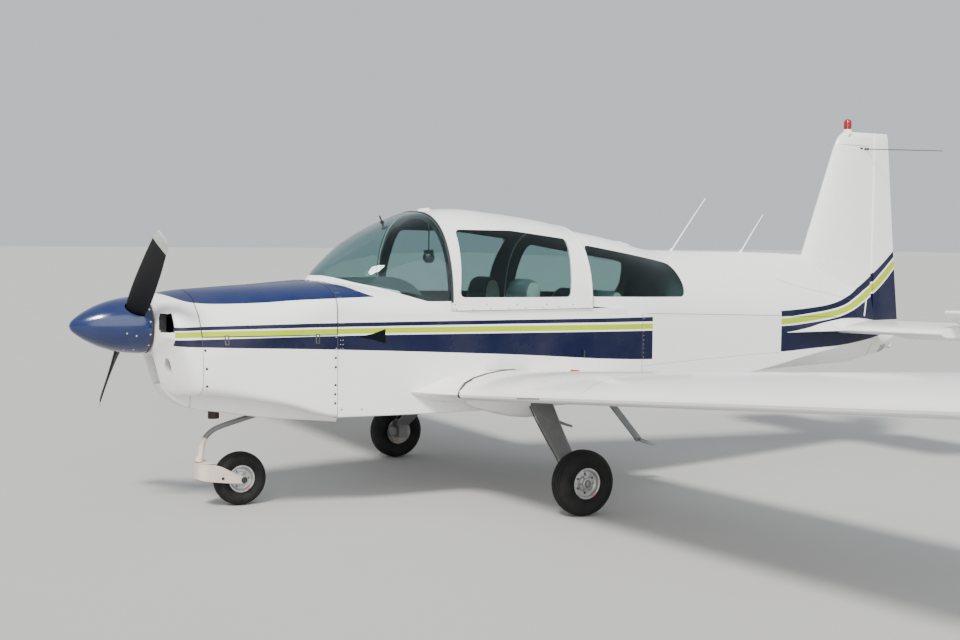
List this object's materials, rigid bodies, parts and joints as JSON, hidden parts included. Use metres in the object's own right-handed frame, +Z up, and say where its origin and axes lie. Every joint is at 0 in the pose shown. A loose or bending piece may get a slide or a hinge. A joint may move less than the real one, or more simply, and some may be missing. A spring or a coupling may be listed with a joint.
{
  "type": "light aircraft",
  "caption": "Four-seat low-wing light aeroplane with sliding canopy, two-blade propeller, fixed tricycle gear and castering nose wheel.",
  "frame": {"origin": "on the ground below the middle of the length, in the plane of symmetry", "axes": "+X to the nose, +Y to port along the span, +Z up"},
  "size_m": [6.71, 9.6, 2.637],
  "materials": {
    "white_paint": "gloss",
    "white_metal": "gloss",
    "blue_paint": "gloss",
    "navy_paint": "gloss",
    "tinted_glass": "gloss",
    "black_paint": "satin",
    "black_trim": "matte",
    "grey_gear": "satin",
    "cream_paint": "satin",
    "engine_metal": "satin",
    "wheel_metal": "satin",
    "tyre": "matte",
    "seat_fabric": "matte",
    "red_lens": "gloss"
  },
  "bodies": {
    "airframe": {"cabin_tub": "white_metal", "forward_deck": "white_metal", "windshield": "tinted_glass", "canopy_rails": "black_trim", "rear_cabin": "white_metal", "rear_glass_port": "tinted_glass", "rear_glass_starboard": "tinted_glass", "fin": "white_paint", "fin_cap": "white_paint", "beacon": "red_lens", "tail_cone": "white_paint", "tail_fairing": "navy_paint", "nose_bowl": "white_paint", "lower_cowl": "white_paint", "engine_block": "engine_metal", "exhaust_pipe": "black_paint", "wing_port": "white_paint", "wing_starboard": "white_paint", "wing_tip_port": "white_paint", "wing_tip_starboard": "white_paint", "root_glove_port": "white_paint", "root_glove_starboard": "white_paint", "tailplane_port": "white_paint", "tailplane_starboard": "white_paint", "nose_strut": "grey_gear", "main_leg_port": "grey_gear", "main_leg_starboard": "grey_gear", "gear_fairing_port": "white_paint", "gear_fairing_starboard": "white_paint", "front_seat_port": "seat_fabric", "front_seat_starboard": "seat_fabric", "rear_seat": "seat_fabric", "instrument_panel": "black_trim", "whip_front": "wheel_metal", "whip_rear": "wheel_metal", "nav_antenna": "black_trim", "step_port": "grey_gear", "step_starboard": "grey_gear"},
    "canopy": {"canopy_shell": "white_paint", "canopy_glass_port": "tinted_glass", "canopy_glass_starboard": "tinted_glass"},
    "door_port": {"cowl_door_port": "blue_paint"},
    "door_starboard": {"cowl_door_starboard": "blue_paint"},
    "airscrew": {"propeller": "black_paint", "spinner": "blue_paint"},
    "rudder": {"rudder": "white_paint"},
    "elevator_port": {"elevator_port": "white_paint"},
    "elevator_starboard": {"elevator_starboard": "white_paint"},
    "aileron_port": {"aileron_port": "white_paint"},
    "aileron_starboard": {"aileron_starboard": "white_paint"},
    "flap_port": {"flap_port": "white_paint"},
    "flap_starboard": {"flap_starboard": "white_paint"},
    "fork": {"nose_fork": "cream_paint"},
    "nose_wheel": {"nose_tyre": "tyre", "nose_hub": "wheel_metal"},
    "main_wheel_port": {"main_port_tyre": "tyre", "main_port_hub": "wheel_metal"},
    "main_wheel_starboard": {"main_starboard_tyre": "tyre", "main_starboard_hub": "wheel_metal"}
  },
  "joints": [
    {"name": "propeller_spin", "type": "hinge", "parent": "airframe", "child": "airscrew", "pos_m": [3.005, 0, 1.135], "axis": [1, 0, 0], "continuous": true},
    {"name": "nose_caster", "type": "hinge", "parent": "airframe", "child": "fork", "pos_m": [2.575, 0, 0.28], "axis": [0, 0, 1], "range_deg": [-90, 90]},
    {"name": "nose_wheel_spin", "type": "hinge", "parent": "fork", "child": "nose_wheel", "pos_m": [2.315, 0, 0.166], "axis": [0, 1, 0], "continuous": true},
    {"name": "main_wheel_port_spin", "type": "hinge", "parent": "airframe", "child": "main_wheel_port", "pos_m": [0.6, 1.26, 0.2], "axis": [0, 1, 0], "continuous": true},
    {"name": "main_wheel_starboard_spin", "type": "hinge", "parent": "airframe", "child": "main_wheel_starboard", "pos_m": [0.6, -1.26, 0.2], "axis": [0, 1, 0], "continuous": true},
    {"name": "canopy_slide", "type": "slide", "parent": "airframe", "child": "canopy", "axis": [-1, 0, 0], "range_m": [0, 0.62]},
    {"name": "cowl_door_port_hinge", "type": "hinge", "parent": "airframe", "child": "door_port", "pos_m": [2.2925, 0.006, 1.3688], "axis": [0.998, 0, -0.0625], "range_deg": [0, 85]},
    {"name": "cowl_door_starboard_hinge", "type": "hinge", "parent": "airframe", "child": "door_starboard", "pos_m": [2.2925, -0.006, 1.3688], "axis": [-0.998, 0, 0.0625], "range_deg": [0, 85]},
    {"name": "rudder_hinge", "type": "hinge", "parent": "airframe", "child": "rudder", "pos_m": [-3.038, 0, 1.7], "axis": [0, 0, 1], "range_deg": [-25, 25]},
    {"name": "elevator_port_hinge", "type": "hinge", "parent": "airframe", "child": "elevator_port", "pos_m": [-2.95, 0.75, 1.02529], "axis": [0, 0.9995, 0.0314], "range_deg": [0, 45]},
    {"name": "elevator_starboard_hinge", "type": "hinge", "parent": "airframe", "child": "elevator_starboard", "pos_m": [-2.95, -0.75, 1.02529], "axis": [0, 0.9995, -0.0314], "range_deg": [0, 45]},
    {"name": "aileron_port_hinge", "type": "hinge", "parent": "airframe", "child": "aileron_port", "pos_m": [0.17697, 3.53, 0.9624], "axis": [0, 0.9962, 0.0872], "range_deg": [-20, 20]},
    {"name": "aileron_starboard_hinge", "type": "hinge", "parent": "airframe", "child": "aileron_starboard", "pos_m": [0.17697, -3.53, 0.9624], "axis": [0, 0.9962, -0.0872], "range_deg": [-20, 20]},
    {"name": "flap_port_hinge", "type": "hinge", "parent": "airframe", "child": "flap_port", "pos_m": [0.17697, 1.5325, 0.78764], "axis": [0, 0.9962, 0.0872], "range_deg": [-30, 0]},
    {"name": "flap_starboard_hinge", "type": "hinge", "parent": "airframe", "child": "flap_starboard", "pos_m": [0.17697, -1.5325, 0.78764], "axis": [0, 0.9962, -0.0872], "range_deg": [-30, 0]}
  ],
  "couplings": [
    {"joint": "aileron_starboard_hinge", "follows": "aileron_port_hinge", "ratio": -1},
    {"joint": "flap_starboard_hinge", "follows": "flap_port_hinge", "ratio": 1},
    {"joint": "elevator_starboard_hinge", "follows": "elevator_port_hinge", "ratio": 1}
  ]
}
